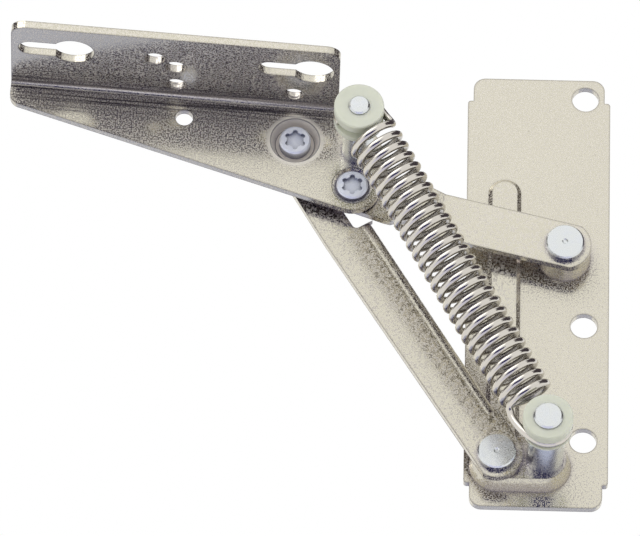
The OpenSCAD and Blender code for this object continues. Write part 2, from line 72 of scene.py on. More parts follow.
back = Vector((math.sin(AZIMUTH) * math.cos(ELEVATION),
               -math.cos(AZIMUTH) * math.cos(ELEVATION),
               math.sin(ELEVATION)))
eye = bpy.data.cameras.new("long_lens")
eye.sensor_width = SENSOR
eye.lens = PX_PER_MM / MM * DISTANCE * SENSOR / PHOTO_WIDTH
eye.clip_start = 0.05
eye.clip_end = 50.0
camera = bpy.data.objects.new("camera", eye)
camera.rotation_mode = "QUATERNION"
camera.location = AIM + back * DISTANCE
camera.rotation_quaternion = (-back).to_track_quat("-Z", "Y") @ Quaternion((0, 0, 1), -ROLL)
bpy.context.scene.collection.objects.link(camera)
bpy.context.scene.camera = camera
print("lens:", round(eye.lens, 1), "mm")

# %% [markdown]
# ## Colours
# Colours are picked as sRGB hex values, as a paint program shows them. Blender's nodes expect
# linear light, so one function turns a hex value into linear numbers. The numbers in it are those
# of the sRGB standard.

# %% From hex to linear
def linear(hex_colour):
    def one(channel):
        if channel <= 0.04045:
            return channel / 12.92
        return ((channel + 0.055) / 1.055) ** 2.4
    values = [int(hex_colour[i:i + 2], 16) / 255 for i in (1, 3, 5)]
    return (*[one(v) for v in values], 1.0)


print("mid grey:", [round(v, 3) for v in linear("#808080")[:3]])

# %% [markdown]
# ## Adding nodes
# A material is a small network. One function adds a node, sets its properties, fills its inputs
# and links them, so that the networks below stay short enough to read. A link is named for the
# socket that it goes to, with _ for a space, or by the socket's number, as in i0. Numbers are
# needed where names repeat: a Mix node for colours has its factor at 0, its two colours at 6 and
# 7, and its result at output 2.

# %% One function that adds a node
OF_COLOURS = {"data_type": "RGBA"}


def add(tree, kind, settings=None, inputs=None, **links):
    made = tree.nodes.new(kind)
    for name, value in (settings or {}).items():
        setattr(made, name, value)
    for name, value in (inputs or {}).items():
        made.inputs[name].default_value = value
    for name, source in links.items():
        numbered = name[0] == "i" and name[1:].isdigit()
        key = int(name[1:]) if numbered else name.replace("_", " ")
        tree.links.new(source, made.inputs[key])
    return made


def new_material(name):
    material = bpy.data.materials.new(name)
    material.use_nodes = True
    material.node_tree.nodes.clear()
    return material, material.node_tree


print("settings of a colour mix:", OF_COLOURS)

# %% [markdown]
# ## Studio
# Polished metal only looks right when it has something to mirror. A panorama of a real studio
# could be wrapped round the scene, but single lamps and cards can be placed and dimmed one by one.
# The room is white for the camera and for reflections, and softer for plain light, so pale
# surfaces don't burn out. Two large softboxes give the soft shadows. The main one, the key, is a
# little brighter than the room, for the white streaks on the wire. Mirrors don't see the side one,
# so that the walls of the holes, which face it, stay cream as the plating is and never clip.

# %% White room
ROOM_FILL = 0.7
WHITE = (1, 1, 1, 1)
world = bpy.data.worlds.new("white_room")
bpy.context.scene.world = world
world.use_nodes = True
room = world.node_tree
room.nodes.clear()
path = add(room, "ShaderNodeLightPath")
seen = add(room, "ShaderNodeMath", {"operation": "MAXIMUM"},
           i0=path.outputs["Is Camera Ray"], i1=path.outputs["Is Glossy Ray"])
seen = add(room, "ShaderNodeMath", {"operation": "MAXIMUM"},
           i0=seen.outputs[0], i1=path.outputs["Is Transmission Ray"])
white = add(room, "ShaderNodeBackground", inputs={"Color": WHITE, "Strength": 1.0})
fill = add(room, "ShaderNodeBackground", inputs={"Color": WHITE, "Strength": ROOM_FILL})
room_mix = add(room, "ShaderNodeMixShader",
               i0=seen.outputs[0], i1=fill.outputs[0], i2=white.outputs[0])
add(room, "ShaderNodeOutputWorld", Surface=room_mix.outputs[0])
bpy.context.scene.view_settings.view_transform = "Standard"
print("plain light of the room:", ROOM_FILL, "of white")

# %% Softboxes
OBJECT_CENTRE = Vector((-0.06, -0.02, 0.0))
BOX_DISTANCE = 1.6


def softbox(name, direction, width, height, watts):
    data = bpy.data.lights.new(name, "AREA")
    data.shape = "RECTANGLE"
    data.size = width
    data.size_y = height
    data.energy = watts
    lamp = bpy.data.objects.new(name, data)
    way_out = Vector(direction).normalized()
    lamp.location = OBJECT_CENTRE + way_out * BOX_DISTANCE
    lamp.rotation_mode = "QUATERNION"
    lamp.rotation_quaternion = way_out.to_track_quat("Z", "Y")
    bpy.context.scene.collection.objects.link(lamp)
    return lamp


key = softbox("key_softbox", (-0.55, -0.62, 0.62), width=1.5, height=1.2, watts=8.0)
side = softbox("side_softbox", (0.85, -0.45, 0.25), width=0.8, height=1.2, watts=3.4)
side.visible_glossy = False
print("lamps:", key.data.energy, side.data.energy, "W")

# %% [markdown]
# ## Glowing cards
# Glowing cards stand around the fitting, where a real studio would put cards of coloured cloth.
# No lamp lights them: each glows with one calm colour, a painted reflection that only the metal
# shows. The same colours could be painted on the metal, but then they would be wrong from every
# other side. Only reflections see the cards.
# The front card is what the flange's underside mirrors. The low card is for the bend and the front
# wall of the long seat, the rear card for the sheets' lower edges, and the side and top cards for
# the walls of the pressed bead. Each card is one flat face from one elevation to another, and all
# stand at the same distance.

# %% Glowing cards seen only in reflections
CARD_DISTANCE = 0.9
# Name, azimuth, lowest and highest elevation in degrees, half width in metres, and colour.
CARDS = [
    ("front_card", 0, -46, -8, 0.5, "#2B2A6C"),
    ("low_card", 0, -88, -50, 0.5, "#E8E8FF"),
    ("rear_card", 180, -55, -10, 0.5, "#C4C8DE"),
    ("right_card", 92, 8, 66, 0.4, "#4A444A"),
    ("left_card", -95, 10, 50, 0.3, "#4A444A"),
    ("top_card", 180, 44, 80, 0.5, "#504A50"),
]


def quad(name, corners):
    mesh = bpy.data.meshes.new(name)
    mesh.from_pydata([tuple(c) for c in corners], [], [(0, 1, 2, 3)])
    mesh.update()
    made = bpy.data.objects.new(name, mesh)
    bpy.context.scene.collection.objects.link(made)
    return made


def glowing_reflection_card(name, azimuth, low, high, half_width, colour):
    turn = math.radians(azimuth)
    out = Vector((math.sin(turn), -math.cos(turn), 0))
    sideways = Vector((math.cos(turn), math.sin(turn), 0))
    corners = []
    for elevation, hands in ((low, (-1, 1)), (high, (1, -1))):
        rise = math.radians(elevation)
        middle = (OBJECT_CENTRE + out * CARD_DISTANCE * math.cos(rise)
                  + Vector((0, 0, CARD_DISTANCE * math.sin(rise))))
        for hand in hands:
            corners.append(middle + sideways * hand * half_width)
    card = quad(name, corners)
    material, tree = new_material(name + "_cloth")
    # Painted reflection: the card glows with its colour, and no lamp lights it.
    glow = add(tree, "ShaderNodeEmission", inputs={"Color": linear(colour), "Strength": 1.0})
    add(tree, "ShaderNodeOutputMaterial", Surface=glow.outputs[0])
    card.data.materials.append(material)
    card.visible_camera = card.visible_diffuse = card.visible_shadow = False
    card.visible_transmission = card.visible_volume_scatter = False


for card_row in CARDS:
    glowing_reflection_card(*card_row)
print("cloth cards:", len(CARDS))

# %% [markdown]
# ## Floor
# The fitting stands on the end of its plate, so the other views show it on a pale floor with a
# soft shadow. Matt paint scatters the light evenly, so the floor shows that shadow and mirrors
# nothing. The photograph looks up from below the floor's level. A floor further down would lose
# the shadow, so this one is clear from underneath instead, which the Backfacing output of the
# Geometry node tells the material.

# %% Floor
FLOOR_GAP_MM = 0.4
FLOOR_HALF = 6.0
floor_z = cad_box[0].z - FLOOR_GAP_MM * MM
floor = quad("floor", [(-FLOOR_HALF, -FLOOR_HALF, floor_z), (FLOOR_HALF, -FLOOR_HALF, floor_z),
                       (FLOOR_HALF, FLOOR_HALF, floor_z), (-FLOOR_HALF, FLOOR_HALF, floor_z)])
floor_paint, tree = new_material("pale_matt_floor_paint")
side_of = add(tree, "ShaderNodeNewGeometry")
paint = add(tree, "ShaderNodeBsdfDiffuse",
            inputs={"Color": linear("#F2F1EE"), "Roughness": 0.5})
clear = add(tree, "ShaderNodeBsdfTransparent")
floor_mix = add(tree, "ShaderNodeMixShader",
                i0=side_of.outputs["Backfacing"], i1=paint.outputs[0], i2=clear.outputs[0])
add(tree, "ShaderNodeOutputMaterial", Surface=floor_mix.outputs[0])
floor.data.materials.append(floor_paint)
floor.visible_glossy = floor.visible_shadow = False
print("floor at", round(floor_z / MM, 1), "mm")

# %% [markdown]
# ## Nickel-plated sheet steel
# The plate, the links and the bracket are pressed from cold-rolled sheet and nickel plated. One
# grey with one roughness would look like paint, because the rolled surface leaves a fine grain.
# Its smooth grains mirror the studio and look warm, and its rough ones scatter the light and look
# cooler. That is why the plate is even and pale, and the bracket, which mirrors a dark card, is
# speckled. Real grain is finer than a pixel of this picture, so it is drawn at 0.4 mm to show, and
# so are the few dark pores, which are pinpricks on the real sheet. Wide clouds break up the rest.

# %% The rolled grain
GRAIN_MM = 0.4
CLOUD_MM = 24.0
PORE_MM = 1.1


def per_metre(size_mm):
    return 1.0 / (size_mm * MM)


nickel, tree = new_material("satin_nickel_plated_sheet_steel")
spot = add(tree, "ShaderNodeTexCoord").outputs["Object"]
clouds = add(tree, "ShaderNodeTexNoise",
             inputs={"Scale": per_metre(CLOUD_MM), "Detail": 3.0}, Vector=spot)
grain = add(tree, "ShaderNodeTexNoise",
            inputs={"Scale": per_metre(GRAIN_MM), "Detail": 1.0}, Vector=spot)
pores = add(tree, "ShaderNodeTexNoise",
            inputs={"Scale": per_metre(PORE_MM), "Detail": 4.0, "Roughness": 0.8}, Vector=spot)
roughly = add(tree, "ShaderNodeMapRange",
              inputs={"From Min": 0.45, "From Max": 0.62}, Value=grain.outputs[0])
rolled = add(tree, "ShaderNodeMix", OF_COLOURS,
             {6: linear("#DBD6C5"), 7: linear("#D3CEBD")}, i0=clouds.outputs[0])
toned = add(tree, "ShaderNodeMix", OF_COLOURS,
            {7: linear("#D8D3C9")}, i0=roughly.outputs[0], i6=rolled.outputs[2])
pitted = add(tree, "ShaderNodeMapRange",
             inputs={"From Min": 0.67, "From Max": 0.74}, Value=pores.outputs[0])
pored = add(tree, "ShaderNodeMix", OF_COLOURS,
            {7: linear("#8A837C")}, i0=pitted.outputs[0], i6=toned.outputs[2])
print("nickel grain:", GRAIN_MM, "mm")

# %% [markdown]
# ## Painted shade at edges, creases and close places
# The cut edges and the creases of a pressing get a thin dark line of painted shade. Where one
# sheet lies close behind another, the two mirror hardly anything but each other, so the plating is
# painted violet-grey there as shade. All this could be painted on by hand, part by part. Ambient
# occlusion finds the same places on any shape: from inside the sheet it marks the edges, over a
# short reach the creases, and over a long one the close places.

# %% Painted shade on the nickel at edges, in creases and close to other sheets
EDGE_MM = 0.45
CREASE_MM = 0.8
CLOSE_MM = 6.0
edge = add(tree, "ShaderNodeAmbientOcclusion", {"samples": 4, "inside": True},
           {"Distance": EDGE_MM * MM})
edge_line = add(tree, "ShaderNodeMapRange",
                inputs={"From Min": 0.5, "From Max": 0.95, "To Min": 0.7, "To Max": 0.0},
                Value=edge.outputs["AO"])
# Painted shade: a thin dark line along the cut edges.
edge_painted_shade = add(tree, "ShaderNodeMix", OF_COLOURS,
            {7: linear("#77716C")}, i0=edge_line.outputs[0], i6=pored.outputs[2])
crease = add(tree, "ShaderNodeAmbientOcclusion", {"samples": 6}, {"Distance": CREASE_MM * MM})
crease_line = add(tree, "ShaderNodeMapRange",
                  inputs={"From Min": 0.45, "From Max": 0.95, "To Min": 0.6, "To Max": 0.0},
                  Value=crease.outputs["AO"])
# Painted shade: a dark line in the creases.
crease_painted_shade = add(tree, "ShaderNodeMix", OF_COLOURS,
              {7: linear("#5E585E")}, i0=crease_line.outputs[0], i6=edge_painted_shade.outputs[2])
close = add(tree, "ShaderNodeAmbientOcclusion", {"samples": 6}, {"Distance": CLOSE_MM * MM})
close_by = add(tree, "ShaderNodeMapRange",
               inputs={"From Min": 0.15, "From Max": 0.8, "To Min": 0.7, "To Max": 0.0},
               Value=close.outputs["AO"])
# Painted shade: violet-grey where another sheet lies close.
shaded = add(tree, "ShaderNodeMix", OF_COLOURS,
             {7: linear("#A49AB0")}, i0=close_by.outputs[0], i6=crease_painted_shade.outputs[2])
print("edge line:", EDGE_MM, "mm")

# %% Satin gloss and relief of the nickel
GRAIN_DEEP_MM = 0.02
satin = add(tree, "ShaderNodeMapRange",
            inputs={"To Min": 0.12, "To Max": 0.6}, Value=roughly.outputs[0])
relief = add(tree, "ShaderNodeBump",
             inputs={"Strength": 0.6, "Distance": GRAIN_DEEP_MM * MM}, Height=grain.outputs[0])
plating = add(tree, "ShaderNodeBsdfPrincipled", inputs={"Metallic": 1.0},
              Base_Color=shaded.outputs[2], Roughness=satin.outputs[0],
              Normal=relief.outputs[0])
add(tree, "ShaderNodeOutputMaterial", Surface=plating.outputs[0])
print("nickel nodes:", len(tree.nodes))

# %% [markdown]
# ## Drag lines beside the bend
# The bracket is bent over a die, and the sheet drags along it. That leaves fine lines parallel to
# the bend, a few millimetres to each side, and they pull every reflection out along the bend.
# They are far too fine to be cut into the mesh. The bracket's finish is a copy of the nickel with
# such lines added to its colour and relief, 0.55 mm apart, because real ones are finer than a
# pixel. They are measured from the bend's own axis, so they follow the bracket's small tilt. The
# axis is given where it lies once that tilt is taken out.

# %% Fine lines along the bend
BEND_TILT = math.radians(4.0)
BEND_Y_MM = -14.6
BEND_Z_MM = 39.0
LINE_LONG_MM = 60.0
LINE_APART_MM = 0.55
dragged_nickel = nickel.copy()
dragged_nickel.name = "nickel_plated_sheet_with_drag_lines"
tree = dragged_nickel.node_tree
plating = tree.nodes["Principled BSDF"]
spot = add(tree, "ShaderNodeTexCoord").outputs["Object"]
from_bend = add(tree, "ShaderNodeMapping",
                inputs={"Rotation": (0.0, -BEND_TILT, 0.0),
                        "Location": (0.0, -BEND_Y_MM * MM, -BEND_Z_MM * MM)},
                Vector=spot)
pulled = add(tree, "ShaderNodeMapping",
             inputs={"Scale": (per_metre(LINE_LONG_MM), per_metre(LINE_APART_MM),
                               per_metre(LINE_APART_MM))},
             Vector=from_bend.outputs[0])
drag = add(tree, "ShaderNodeTexNoise",
           inputs={"Scale": 1.0, "Detail": 3.0, "Roughness": 0.7}, Vector=pulled.outputs[0])
print("drag lines:", LINE_APART_MM, "mm apart")

# %% Nickel with drag lines
DRAG_FULL_MM = 2.5
DRAG_END_MM = 7.0
FURROW_DEEP_MM = 0.05
across = add(tree, "ShaderNodeMapping",
             inputs={"Scale": (0.0, 1.0, 1.0)}, Vector=from_bend.outputs[0])
away = add(tree, "ShaderNodeVectorMath", {"operation": "LENGTH"}, Vector=across.outputs[0])
reach = add(tree, "ShaderNodeMapRange",
            inputs={"From Min": DRAG_FULL_MM * MM, "From Max": DRAG_END_MM * MM,
                    "To Min": 1.0, "To Max": 0.0},
            Value=away.outputs["Value"])
lines = add(tree, "ShaderNodeMapRange",
            inputs={"From Min": 0.42, "From Max": 0.66}, Value=drag.outputs[0])
lined = add(tree, "ShaderNodeMath", {"operation": "MULTIPLY"},
            i0=reach.outputs[0], i1=lines.outputs[0])
streaked = add(tree, "ShaderNodeMix", OF_COLOURS, {7: linear("#4A444E")},
               i0=lined.outputs[0], i6=plating.inputs["Base Color"].links[0].from_socket)
furrows = add(tree, "ShaderNodeBump",
              inputs={"Strength": 0.5, "Distance": FURROW_DEEP_MM * MM},
              Height=lined.outputs[0], Normal=plating.inputs["Normal"].links[0].from_socket)
tree.links.new(streaked.outputs[2], plating.inputs["Base Color"])
tree.links.new(furrows.outputs[0], plating.inputs["Normal"])
print("drag lines end", DRAG_END_MM, "mm from the bend's axis")

# %% [markdown]
# ## The drawn dish
# Round the front rivet the bracket is drawn down into a dish. Drawing stretches the sheet, so its
# surface turns matt there, and it catches the light of the room from a wide angle where the flat
# sheet beside it mirrors the flange. The dish is also painted pale, as painted light. A second
# material on the dish's faces would end in a hard edge. Here the distance from the rivet's axis
# says where the finish is matt and painted pale, so it fades out in a pale ring of painted light
# beyond the rim. Each rim also gets a fine dark line of painted shade, drawn a quarter of a
# millimetre wide, which is about one pixel.

# %% Matt nickel and painted light in the dish
DISH_AXIS = (-61.0 * MM, 0.0, 34.8 * MM)
DISH_REACH_MM = 5.8
HALO_MM = 7.8
DISH_PAINTED_LIGHT = 0.92
DISH_MATT = 0.85
in_plane = add(tree, "ShaderNodeMapping", inputs={"Scale": (1.0, 0.0, 1.0)}, Vector=spot)
from_axis = add(tree, "ShaderNodeVectorMath", {"operation": "DISTANCE"}, {1: DISH_AXIS},
                i0=in_plane.outputs[0])
in_dish = add(tree, "ShaderNodeMapRange",
              inputs={"From Min": DISH_REACH_MM * MM, "From Max": HALO_MM * MM,
                      "To Min": 1.0, "To Max": 0.0},
              Value=from_axis.outputs["Value"])
painted_light_share = add(tree, "ShaderNodeMath", {"operation": "MULTIPLY"}, {1: DISH_PAINTED_LIGHT},
             i0=in_dish.outputs[0])
# Painted light: the dish is painted nearly white, fading out beyond its rim.
dish_painted_light = add(tree, "ShaderNodeMix", OF_COLOURS, {7: linear("#FBF7F0")},
                 i0=painted_light_share.outputs[0], i6=plating.inputs["Base Color"].links[0].from_socket)
matt_there = add(tree, "ShaderNodeMath", {"operation": "MULTIPLY"}, {1: DISH_MATT},
                 i0=in_dish.outputs[0])
roughest = add(tree, "ShaderNodeMath", {"operation": "MAXIMUM"},
               i0=matt_there.outputs[0], i1=plating.inputs["Roughness"].links[0].from_socket)
tree.links.new(roughest.outputs[0], plating.inputs["Roughness"])
print("dish:", DISH_REACH_MM, "mm to its edge")

# %% Painted shade lines at the dish rims
SMALL_DISH_AXIS = (-46.6 * MM, 0.0, 22.4 * MM)
# The axis of each line's circle, and its radius in millimetres.
RIM_SHADE_LINES = [(DISH_AXIS, 6.15), (DISH_AXIS, 4.9), (SMALL_DISH_AXIS, 5.05)]
RIM_SHADE_HALF_MM = 0.13
RIM_SHADE_DARK = 0.55
dish_light_and_rim_shade = dish_painted_light
for axis, radius_mm in RIM_SHADE_LINES:
    apart = add(tree, "ShaderNodeVectorMath", {"operation": "DISTANCE"}, {1: axis},
                i0=in_plane.outputs[0])
    on_line = add(tree, "ShaderNodeMath", {"operation": "COMPARE"},
                  {1: radius_mm * MM, 2: RIM_SHADE_HALF_MM * MM}, i0=apart.outputs["Value"])
    mark = add(tree, "ShaderNodeMath", {"operation": "MULTIPLY"}, {1: RIM_SHADE_DARK},
               i0=on_line.outputs[0])
    # Painted shade: a fine dark line on each rim.
    dish_light_and_rim_shade = add(tree, "ShaderNodeMix", OF_COLOURS, {7: linear("#4A444E")},
                 i0=mark.outputs[0], i6=dish_light_and_rim_shade.outputs[2])
tree.links.new(dish_light_and_rim_shade.outputs[2], plating.inputs["Base Color"])
print("press lines:", len(RIM_SHADE_LINES))

# %% [markdown]
# ## Zinc-plated rivets and posts
# The rivets and the spring posts are cold-headed from rod and zinc plated with a blue passivation.
# A plain glossy metal would pass for chrome. Zinc is colder and glossier than the nickel but not a
# mirror, and it has small dents from the heading tool. The corners, where little light gets in,
# get a painted shade of dark blue. Its scuffs are drawn coarser than real ones, to show.

# %% Blue-passivated zinc
DENT_MM = 1.6
SCUFF_MM = 0.4
CORNER_MM = 1.1
zinc, tree = new_material("blue_passivated_zinc_on_steel")
spot = add(tree, "ShaderNodeTexCoord").outputs["Object"]
dents = add(tree, "ShaderNodeTexNoise",
            inputs={"Scale": per_metre(DENT_MM), "Detail": 4.0, "Roughness": 0.6}, Vector=spot)
scuffs = add(tree, "ShaderNodeTexNoise",
             inputs={"Scale": per_metre(SCUFF_MM), "Detail": 2.0}, Vector=spot)
tint = add(tree, "ShaderNodeMix", OF_COLOURS,
           {6: linear("#E6E8E2"), 7: linear("#D3D7DE")}, i0=dents.outputs[0])
corner = add(tree, "ShaderNodeAmbientOcclusion", {"samples": 6}, {"Distance": CORNER_MM * MM})
corner_line = add(tree, "ShaderNodeMapRange",
                  inputs={"From Min": 0.1, "From Max": 0.55, "To Min": 0.5, "To Max": 0.0},
                  Value=corner.outputs["AO"])
# Painted shade: dark blue in the corners.
painted_shade_mix = add(tree, "ShaderNodeMix", OF_COLOURS,
             {7: linear("#3C3E58")}, i0=corner_line.outputs[0], i6=tint.outputs[2])
print("zinc dents:", DENT_MM, "mm")

# %% Gloss and relief of the zinc
SCUFF_DEEP_MM = 0.02
DENT_DEEP_MM = 0.05
gloss = add(tree, "ShaderNodeMapRange",
            inputs={"From Min": 0.3, "From Max": 0.7, "To Min": 0.2, "To Max": 0.32},
            Value=dents.outputs[0])
scuffed = add(tree, "ShaderNodeBump",
              inputs={"Strength": 0.3, "Distance": SCUFF_DEEP_MM * MM},
              Height=scuffs.outputs[0])
dented = add(tree, "ShaderNodeBump",
             inputs={"Strength": 0.4, "Distance": DENT_DEEP_MM * MM},
             Height=dents.outputs[0], Normal=scuffed.outputs[0])
shader = add(tree, "ShaderNodeBsdfPrincipled", inputs={"Metallic": 1.0},
             Base_Color=painted_shade_mix.outputs[2], Roughness=gloss.outputs[0],
             Normal=dented.outputs[0])
add(tree, "ShaderNodeOutputMaterial", Surface=shader.outputs[0])
print("zinc nodes:", len(tree.nodes))

# %% [markdown]
# ## Socket heads
# The two bracket rivets are set with a six-lobed tool. Their heads are tumbled matt, so they stay
# light in front of the dark flange, and a painted shade of deep blue lies round the socket's wall.
# The finish could be mixed into the zinc by place. A copy with a wider line of painted shade, a
# rougher surface and bluer tints is simpler, because each head is a part of its own.

# %% Zinc on the socket heads
SOCKET_MM = 2.0
# The painted shade starts where less than this share of the surroundings is open.
SOCKET_OPEN = 0.9
SOCKET_DARK = 0.85
SOCKET_SMOOTHEST = 0.5
SOCKET_ROUGHEST = 0.62
socket_zinc = zinc.copy()
socket_zinc.name = "matt_blue_zinc_on_socket_heads"
copied = socket_zinc.node_tree.nodes
copied[corner.name].inputs["Distance"].default_value = SOCKET_MM * MM
copied[corner_line.name].inputs["From Max"].default_value = SOCKET_OPEN
copied[corner_line.name].inputs["To Min"].default_value = SOCKET_DARK
copied[gloss.name].inputs["To Min"].default_value = SOCKET_SMOOTHEST
copied[gloss.name].inputs["To Max"].default_value = SOCKET_ROUGHEST
copied[tint.name].inputs[6].default_value = linear("#F8FAFF")
copied[tint.name].inputs[7].default_value = linear("#DEE3F2")
print("dark line in the sockets:", SOCKET_MM, "mm")

# %% [markdown]
# ## Drawn spring wire
# Spring wire is pulled through a die, which polishes it and leaves hair-fine lines along its
# length. It mirrors the room sharply, so each turn shows a white streak beside a dark one. An
# anisotropic gloss would stretch the streaks without showing any lines, so the lines are drawn in
# colour and relief, 0.25 mm apart, which is coarser than real ones. Between the turns and on the
# inner side of the coil, where little light gets in, the wire gets a painted shade. The wire
# carries its own map: its length in metres one way, and once round it from 0 to 1 the other way.

# %% Hair-fine lines along the wire
WIRE_D = 1.9
HAIRLINE_MM = 0.25
HAIRLINE_LONG_MM = 14.0
PATCH_MM = 2.2
hairlines_round = round(math.pi * WIRE_D / HAIRLINE_MM)
wire_steel, tree = new_material("bright_drawn_spring_steel")
places = add(tree, "ShaderNodeTexCoord")
stretch = add(tree, "ShaderNodeMapping",
              inputs={"Scale": (per_metre(HAIRLINE_LONG_MM), hairlines_round, 1.0)},
              Vector=places.outputs["UV"])
drawn = add(tree, "ShaderNodeTexNoise",
            inputs={"Scale": 1.0, "Detail": 4.0, "Roughness": 0.7}, Vector=stretch.outputs[0])
patches = add(tree, "ShaderNodeTexNoise",
              inputs={"Scale": per_metre(PATCH_MM), "Detail": 3.0},
              Vector=places.outputs["Object"])
tint = add(tree, "ShaderNodeMix", OF_COLOURS,
           {6: linear("#E0DBD2"), 7: linear("#C8C3BB")}, i0=drawn.outputs[0])
print("lines round the wire:", hairlines_round)

# %% Bright drawn spring steel
INSIDE_COIL_MM = 12.0
HAIRLINE_DEEP_MM = 0.02
between = add(tree, "ShaderNodeAmbientOcclusion", {"samples": 6},
              {"Distance": INSIDE_COIL_MM * MM})
between_turns = add(tree, "ShaderNodeMapRange",
                    inputs={"From Min": 0.3, "From Max": 0.7, "To Min": 0.6, "To Max": 0.0},
                    Value=between.outputs["AO"])
# Painted shade: dark between the turns and inside the coil.
painted_shade_mix = add(tree, "ShaderNodeMix", OF_COLOURS,
             {7: linear("#2A2428")}, i0=between_turns.outputs[0], i6=tint.outputs[2])
polish = add(tree, "ShaderNodeMapRange",
             inputs={"From Min": 0.3, "From Max": 0.7, "To Min": 0.1, "To Max": 0.2},
             Value=patches.outputs[0])
hairlines = add(tree, "ShaderNodeBump",
                inputs={"Strength": 0.25, "Distance": HAIRLINE_DEEP_MM * MM},
                Height=drawn.outputs[0])
shader = add(tree, "ShaderNodeBsdfPrincipled", inputs={"Metallic": 1.0},
             Base_Color=painted_shade_mix.outputs[2], Roughness=polish.outputs[0],
             Normal=hairlines.outputs[0])
add(tree, "ShaderNodeOutputMaterial", Surface=shader.outputs[0])
print("wire nodes:", len(tree.nodes))

# %% [markdown]
# ## Moulded nylon
# The two spools are injection moulded from natural nylon. It is milky and slightly green, lets
# some light in at its thin rims, and has the soft gloss of the mould. A clear transmission would
# make it glass, so the light scatters below the surface instead. 1.53 is the usual IOR of nylon.

# %% Natural nylon
NYLON_IOR = 1.53
MILK_MM = 3.0
LIGHT_DEEP_MM = 1.5
MOULD_DEEP_MM = 0.03
nylon, tree = new_material("moulded_natural_nylon")
spot = add(tree, "ShaderNodeTexCoord").outputs["Object"]
milk = add(tree, "ShaderNodeTexNoise",
           inputs={"Scale": per_metre(MILK_MM), "Detail": 3.0}, Vector=spot)
tint = add(tree, "ShaderNodeMix", OF_COLOURS,
           {6: linear("#E2E4D6"), 7: linear("#D2D6C8")}, i0=milk.outputs[0])
gloss = add(tree, "ShaderNodeMapRange",
            inputs={"From Min": 0.3, "From Max": 0.7, "To Min": 0.3, "To Max": 0.42},
            Value=milk.outputs[0])
mould = add(tree, "ShaderNodeBump",
            inputs={"Strength": 0.2, "Distance": MOULD_DEEP_MM * MM}, Height=milk.outputs[0])
shader = add(tree, "ShaderNodeBsdfPrincipled",
             inputs={"IOR": NYLON_IOR, "Subsurface Weight": 0.35,
                     "Subsurface Radius": (1.0, 1.0, 0.8),
                     "Subsurface Scale": LIGHT_DEEP_MM * MM},
             Base_Color=tint.outputs[2], Roughness=gloss.outputs[0], Normal=mould.outputs[0])
add(tree, "ShaderNodeOutputMaterial", Surface=shader.outputs[0])
print("nylon IOR:", NYLON_IOR)

# %% [markdown]
# ## Dressing the CAD parts
# The solids keep their meshes. Modifiers merge the flat triangles and round each sharp edge by a
# fraction of a millimetre, as tumbling does after pressing, because a real edge always catches
# a line of light. A Bevel node could fake that in the material, but the outline would stay sharp.
# A last modifier lets the large flat faces set the shading, so that they look flat right up to
# the rounded edge.

# %% The finish of each part
# Beside the finish stands how far the part's edges are rounded, in millimetres.
FINISHES = {
    "base_plate": (nickel, 0.25),
    "rear_link": (nickel, 0.25),
    "front_link": (nickel, 0.25),
    "flap_bracket": (dragged_nickel, 0.25),
    "rear_pivot_rivet": (zinc, 0.2),
    "front_pivot_rivet": (zinc, 0.2),
    "lower_spring_post": (zinc, 0.15),
    "upper_spring_post": (zinc, 0.15),
    "front_link_rivet": (zinc, 0.15),
    "rear_bracket_rivet": (socket_zinc, 0.12),
    "front_bracket_rivet": (socket_zinc, 0.12),
    "lower_spool": (nylon, 0.2),
    "upper_spool": (nylon, 0.2),
}
print("finishes:", len({finish.name for finish, edge_mm in FINISHES.values()}))

# %% Rounded edges
FLAT_DEGREES = 1.0
SHARP_DEGREES = 35
ROUND_STEPS = 2
FACE_WEIGHT = 60
for name, (finish, edge_mm) in FINISHES.items():
    part = nodes[name]
    merge = part.modifiers.new("merge_flats", "DECIMATE")
    merge.decimate_type = "DISSOLVE"
    merge.angle_limit = math.radians(FLAT_DEGREES)
    soften = part.modifiers.new("tumbled_edges", "BEVEL")
    soften.width = edge_mm * MM
    soften.segments = ROUND_STEPS
    soften.limit_method = "ANGLE"
    soften.angle_limit = math.radians(SHARP_DEGREES)
    soften.harden_normals = True
    level = part.modifiers.new("level_shading", "WEIGHTED_NORMAL")
    level.keep_sharp = True
    level.weight = FACE_WEIGHT
    for polygon in part.data.polygons:
        polygon.use_smooth = True
    part.data.materials.clear()
    part.data.materials.append(finish)
print("dressed:", len(FINISHES), "parts")

# %% [markdown]
# ## The tension spring
# The spring is one wire: a hook round the lower spool, twenty-five turns, and a hook round the
# upper spool. The CAD model keeps it coarse and in two pieces. A Screw modifier would make a neat
# coil but no hooks, so a round profile is swept along the whole line in fine steps. The line is
# first worked out on the spring itself: x runs from the lower post towards the upper one, y lies
# across and z is the height over the plate's back. All sizes are in millimetres, as in the CAD
# model.

# %% Sizes of the spring
LOWER_POST = (2.1, -49.2)
UPPER_POST = (-45.4964, 32.4475)
LOWER_SPOOL_H = 25.8
UPPER_SPOOL_H = 32.4
AXIS_DROP = 3.5
COIL_D = 13.6
COIL_START = 9.9
COIL_STOP = 7.6
TURNS = 25
GROOVE_D = 8.7
RUN_GAP = 0.05

coil_r = (COIL_D - WIRE_D) / 2
hook_r = (GROOVE_D + WIRE_D) / 2 + RUN_GAP
span = Vector((UPPER_POST[0] - LOWER_POST[0], UPPER_POST[1] - LOWER_POST[1]))
along = span.normalized()
tilt = math.atan2(UPPER_SPOOL_H - LOWER_SPOOL_H + AXIS_DROP, span.length)
coil_end = span.length / math.cos(tilt) - COIL_STOP
print("between the posts:", round(span.length, 1), "mm")

# %% From the spring's line to the shared frame
def on_axis(x, y, z):
    return Vector((x * math.cos(tilt) - z * math.sin(tilt), y,
                   LOWER_SPOOL_H - AXIS_DROP + x * math.sin(tilt) + z * math.cos(tilt)))


